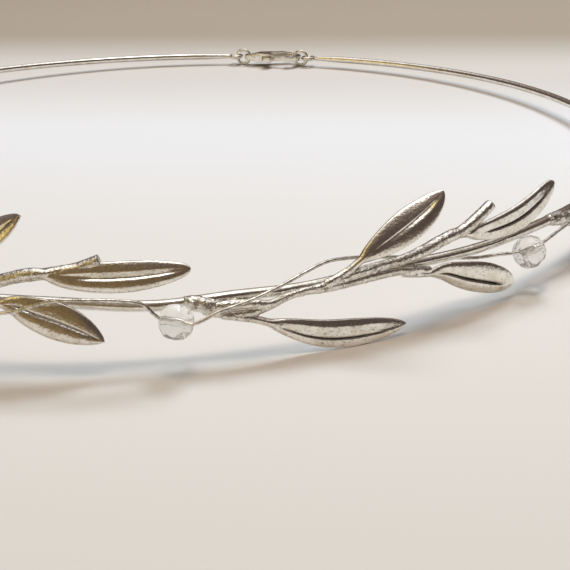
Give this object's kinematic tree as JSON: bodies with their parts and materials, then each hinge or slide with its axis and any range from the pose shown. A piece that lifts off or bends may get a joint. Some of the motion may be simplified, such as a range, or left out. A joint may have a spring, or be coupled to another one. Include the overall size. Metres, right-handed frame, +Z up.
{
  "type": "leaf crown",
  "caption": "Silver head circlet of soldered olive sprays with crystal beads on a woven wire, closed at the back by a lobster clasp.",
  "frame": {"origin": "centre of the head ring, in the plane of the table that the crown rests on", "axes": "+Z up, out of the table and out of the crown's top; -Y towards the crown's front, +Y towards the clasp at the back; +X to the right as seen from the front"},
  "size_m": [0.1871, 0.1828, 0.0219],
  "materials": {
    "silver_plate": "polished, slightly pitted silver plate",
    "crystal": "clear, faceted"
  },
  "bodies": {
    "crown": {"garland": "silver_plate", "bead_wire": "silver_plate", "bead_1": "crystal", "bead_2": "crystal", "bead_3": "crystal", "bead_4": "crystal", "bead_5": "crystal", "bead_6": "crystal", "clasp_body": "silver_plate", "clasp_ring_left": "silver_plate", "clasp_ring_right": "silver_plate"},
    "clasp_lever": {"clasp_lever": "silver_plate"}
  },
  "joints": [
    {"name": "clasp_lever_pivot", "type": "hinge", "parent": "crown", "child": "clasp_lever", "pos_m": [0.00072, 0.08646, 0.00211], "axis": [0, 0.0389, 0.9992], "range_deg": [0, 22], "stiffness_Nm_per_rad": 0.002, "springref_deg": -11.46}
  ]
}
